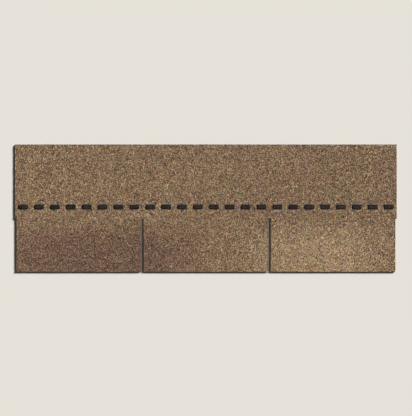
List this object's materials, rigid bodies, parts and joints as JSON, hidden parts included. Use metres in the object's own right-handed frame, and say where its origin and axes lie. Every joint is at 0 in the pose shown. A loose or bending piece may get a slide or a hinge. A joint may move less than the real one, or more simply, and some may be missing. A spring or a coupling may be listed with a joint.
{
  "type": "three-tab asphalt shingle",
  "caption": "Flat granule-faced asphalt strip shingle, slotted into tabs along its butt edge, with a row of self-seal dashes on its face and release film on its back.",
  "frame": {"origin": "centre of the underside, where the strip lies on the deck", "axes": "+X along the strip, +Y from the butt edge with its slots up to the head edge, +Z out of the granule side"},
  "size_m": [0.9144, 0.3048, 0.0041],
  "materials": {
    "granule_sheet": "matte",
    "sealant": "satin",
    "release_film": "gloss"
  },
  "bodies": {
    "root": {"shingle_sheet": "granule_sheet", "sealant_dashes": "sealant", "release_film": "release_film"}
  },
  "joints": []
}
